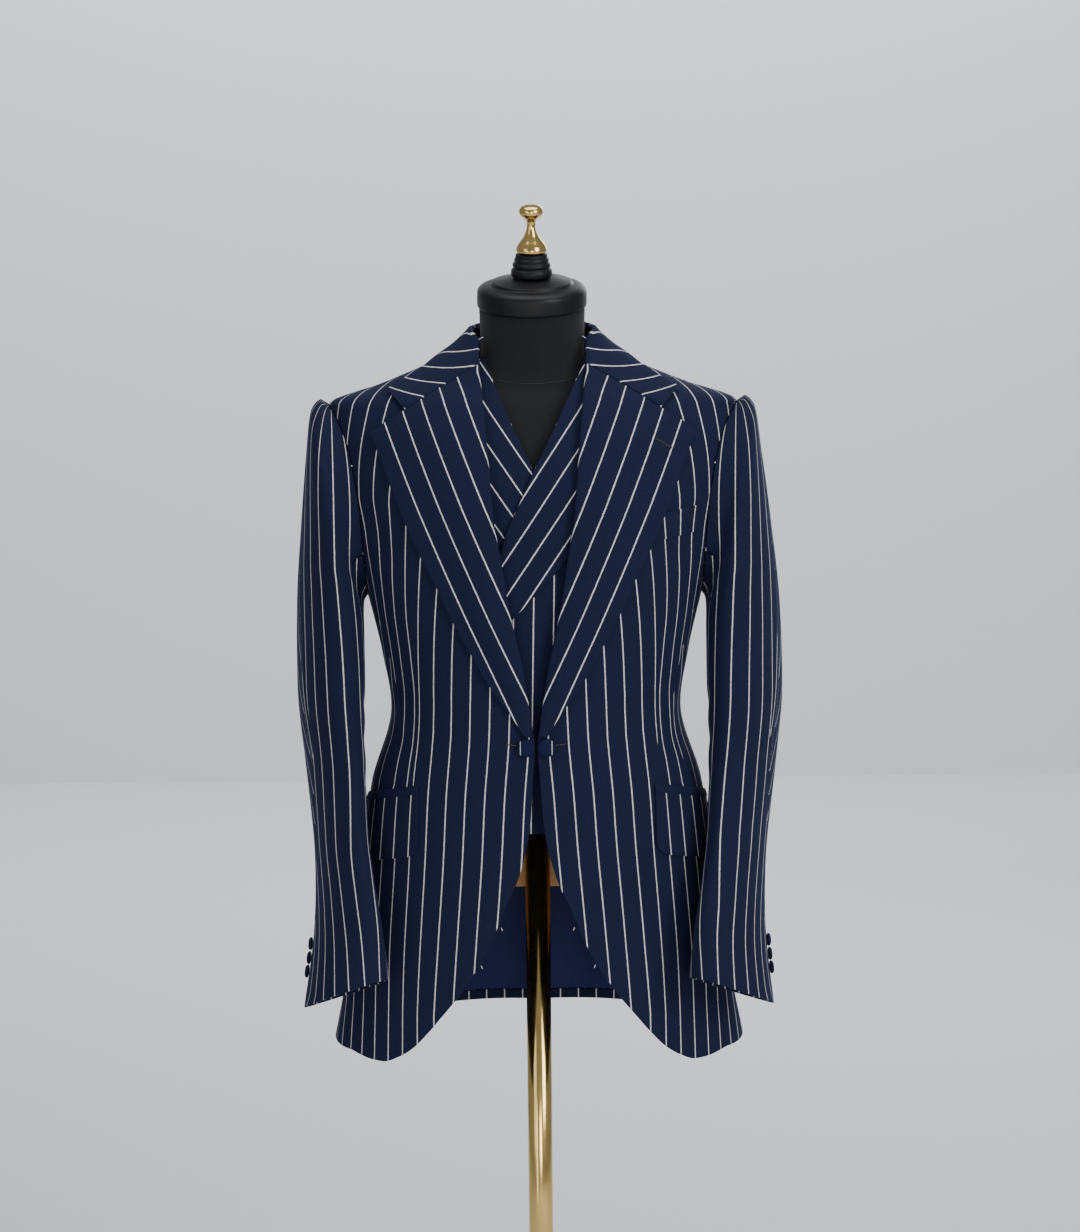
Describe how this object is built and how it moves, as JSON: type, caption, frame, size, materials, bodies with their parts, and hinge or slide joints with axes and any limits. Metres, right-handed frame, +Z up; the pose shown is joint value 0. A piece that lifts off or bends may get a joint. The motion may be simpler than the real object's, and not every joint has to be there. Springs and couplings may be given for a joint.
{
  "type": "suit jacket and waistcoat on dress form stand",
  "caption": "Chalk-striped link-button suit jacket with wide notch lapels over a crossed shawl-collar waistcoat, worn on a limbless dress form on a brass pole stand.",
  "frame": {"origin": "centre of the stand base's underside, on the pole's axis", "axes": "+Z up along the pole, -Y the way the wearer faces, +X to the right of a viewer in front"},
  "size_m": [0.5318, 0.36, 1.6101],
  "materials": {
    "suiting": "navy worsted wool with an off-white chalk stripe",
    "covered_button": "plain navy cloth drawn over a button",
    "lining": "smooth navy lining satin",
    "knit_cover": "charcoal jersey stretched over the form",
    "black_cap": "turned wood, satin black paint",
    "brass": "polished brass",
    "board_wood": "brown varnished plywood"
  },
  "bodies": {
    "root": {"form_finial": "brass", "form_hip_board": "board_wood", "form_neck_cap": "black_cap", "form_neck_turning": "black_cap", "form_torso": "knit_cover", "jacket_back_hem": "suiting", "jacket_back_left": "suiting", "jacket_back_lining": "lining", "jacket_back_right": "suiting", "jacket_breast_welt": "suiting", "jacket_collar": "suiting", "jacket_collar_stand": "suiting", "jacket_cuff_button_left_1": "covered_button", "jacket_cuff_button_left_2": "covered_button", "jacket_cuff_button_left_3": "covered_button", "jacket_cuff_button_right_1": "covered_button", "jacket_cuff_button_right_2": "covered_button", "jacket_cuff_button_right_3": "covered_button", "jacket_flap_left": "suiting", "jacket_flap_right": "suiting", "jacket_front_left": "suiting", "jacket_front_right": "suiting", "jacket_jet_left": "suiting", "jacket_jet_right": "suiting", "jacket_lapel_left": "suiting", "jacket_lapel_right": "suiting", "jacket_link_button_left": "covered_button", "jacket_link_button_right": "covered_button", "jacket_side_left": "suiting", "jacket_side_right": "suiting", "jacket_sleeve_top_left": "suiting", "jacket_sleeve_top_right": "suiting", "jacket_sleeve_under_left": "suiting", "jacket_sleeve_under_right": "suiting", "stand_base": "brass", "stand_collar": "brass", "stand_pole": "brass", "waistcoat_back": "suiting", "waistcoat_button_1": "covered_button", "waistcoat_button_2": "covered_button", "waistcoat_button_3": "covered_button", "waistcoat_front_left": "suiting", "waistcoat_front_right": "suiting", "waistcoat_shawl_left": "suiting", "waistcoat_shawl_right": "suiting"}
  },
  "joints": []
}
